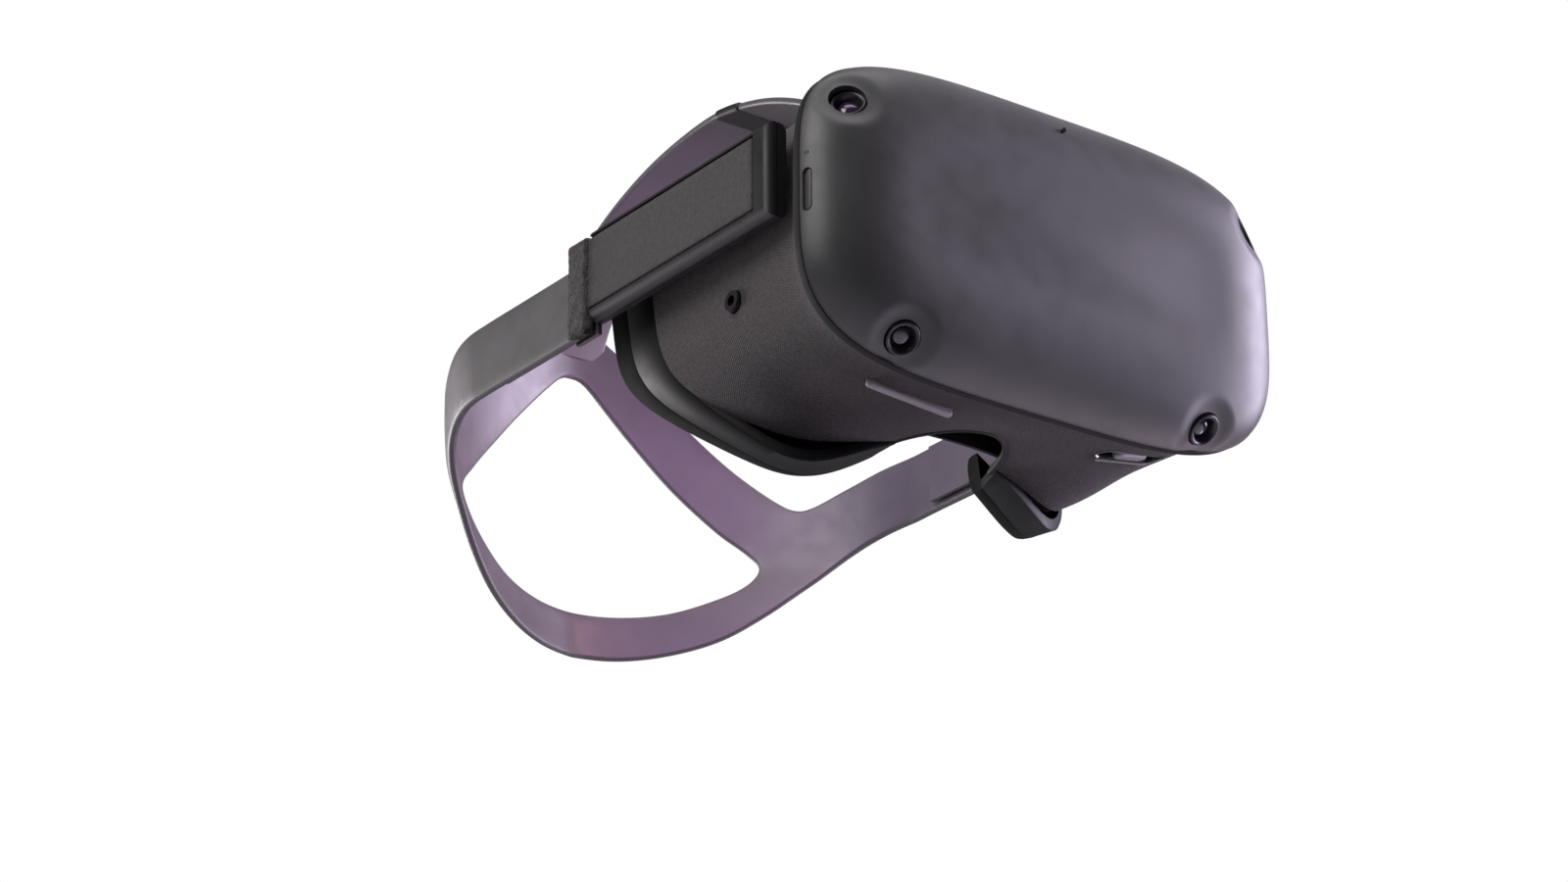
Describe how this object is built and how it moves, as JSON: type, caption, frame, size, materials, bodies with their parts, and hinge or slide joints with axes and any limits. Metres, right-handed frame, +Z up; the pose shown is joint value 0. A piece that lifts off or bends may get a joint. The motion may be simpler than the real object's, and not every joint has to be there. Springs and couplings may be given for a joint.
{
  "type": "virtual reality headset",
  "caption": "Head-worn display visor with rounded front cover, fabric housing, foam face pad, two side arms and a looped rubber head cradle with a top strap.",
  "frame": {"origin": "on the surface the headset rests on, under the middle of its box", "axes": "+Z up, -Y out of the front cover, +X to the wearer's left"},
  "size_m": [0.192, 0.2843, 0.1774],
  "materials": {
    "soft_touch": "soft-touch matte, very dark grey",
    "dark_plastic": "satin, near black",
    "knit_fabric": "fine dark knit",
    "foam": "black open-cell foam with soft cover",
    "gasket_rubber": "black",
    "strap_rubber": "smooth dark grey",
    "hook_loop": "woven hook and loop tape",
    "lens_glass": "coated dark glass",
    "clear_lens": "clear optical plastic",
    "gloss_black": "glossy black",
    "light_control": "light grey satin",
    "metal": "bead blasted",
    "steel": "bright",
    "board": "solder mask",
    "cell": "wrapped cell",
    "led": "light guide"
  },
  "bodies": {
    "visor": {"front_cover": "soft_touch", "power_led": "led", "front_led": "gloss_black", "seam_gasket": "gasket_rubber", "housing_fabric": "knit_fabric", "rear_housing": "dark_plastic", "face_frame": "dark_plastic", "face_foam": "foam", "lens_baffle": "gasket_rubber", "main_board": "board", "heat_spreader": "metal", "battery_pack": "cell", "chassis_plate": "metal", "fan_casing": "dark_plastic", "pinion_bracket": "steel", "ipd_rails": "steel", "slider_tray": "gloss_black", "usb_c_port": "steel", "proximity_sensor": "gloss_black", "top_strap_anchor": "dark_plastic", "chassis_screws": "steel", "audio_jack_right": "gloss_black", "arm_pivot_right": "steel", "audio_jack_left": "gloss_black", "arm_pivot_left": "steel", "camera_barrel_bottom_right": "gloss_black", "camera_lens_bottom_right": "lens_glass", "camera_barrel_bottom_left": "gloss_black", "camera_lens_bottom_left": "lens_glass", "camera_barrel_top_right": "gloss_black", "camera_lens_top_right": "lens_glass", "camera_barrel_top_left": "gloss_black", "camera_lens_top_left": "lens_glass"},
    "strap_frame": {"arm_outer_right": "dark_plastic", "arm_outer_left": "dark_plastic", "arm_inner_right": "dark_plastic", "arm_inner_left": "dark_plastic", "arm_plate_right": "strap_rubber", "arm_plate_left": "strap_rubber", "speaker_right": "metal", "speaker_left": "metal", "top_strap_front": "strap_rubber"},
    "cradle": {"head_cradle": "strap_rubber", "side_strap_right": "hook_loop", "side_strap_left": "hook_loop", "top_strap_rear": "strap_rubber"},
    "lens_unit_right": {"display_right": "gloss_black", "lens_carrier_right": "dark_plastic", "ipd_rack_right": "dark_plastic", "lens_right": "clear_lens"},
    "lens_unit_left": {"display_left": "gloss_black", "lens_carrier_left": "dark_plastic", "ipd_rack_left": "dark_plastic", "lens_left": "clear_lens", "slider_link": "dark_plastic", "ipd_slider": "light_control"},
    "pinion": {"ipd_pinion": "dark_plastic"},
    "fan": {"fan_wheel": "dark_plastic"},
    "power_key": {"power_button": "soft_touch"},
    "volume_key": {"volume_rocker": "light_control"}
  },
  "joints": [
    {"name": "strap_tilt", "type": "hinge", "parent": "visor", "child": "strap_frame", "pos_m": [0, -0.0838, 0.07332], "axis": [1, 0, 0], "range_deg": [-8, 16], "deforming": ["top_strap_front"]},
    {"name": "strap_adjust", "type": "slide", "parent": "strap_frame", "child": "cradle", "axis": [0, 1, 0], "range_m": [0, 0.02], "deforming": ["top_strap_rear"]},
    {"name": "lens_left_slide", "type": "slide", "parent": "visor", "child": "lens_unit_left", "axis": [1, 0, 0], "range_m": [-0.0035, 0.0035]},
    {"name": "lens_right_slide", "type": "slide", "parent": "visor", "child": "lens_unit_right", "axis": [1, 0, 0], "range_m": [-0.0035, 0.0035]},
    {"name": "pinion_spin", "type": "hinge", "parent": "visor", "child": "pinion", "pos_m": [0, -0.0893, 0.09932], "axis": [0, 1, 0], "range_deg": [-51, 51]},
    {"name": "fan_spin", "type": "hinge", "parent": "visor", "child": "fan", "pos_m": [-0.057, -0.1308, 0.06132], "axis": [0, 1, 0], "continuous": true},
    {"name": "power_press", "type": "slide", "parent": "visor", "child": "power_key", "axis": [1, 0, 0], "range_m": [0, 0.0006], "stiffness_N_per_m": 2500},
    {"name": "volume_rock", "type": "hinge", "parent": "visor", "child": "volume_key", "pos_m": [-0.039, -0.1078, 0.01412], "axis": [0, 1, 0], "range_deg": [-1.6, 1.6], "stiffness_Nm_per_rad": 4}
  ],
  "couplings": [
    {"joint": "lens_right_slide", "follows": "lens_left_slide", "ratio": -1},
    {"joint": "pinion_spin", "follows": "lens_left_slide", "rad_per_m": 250}
  ]
}
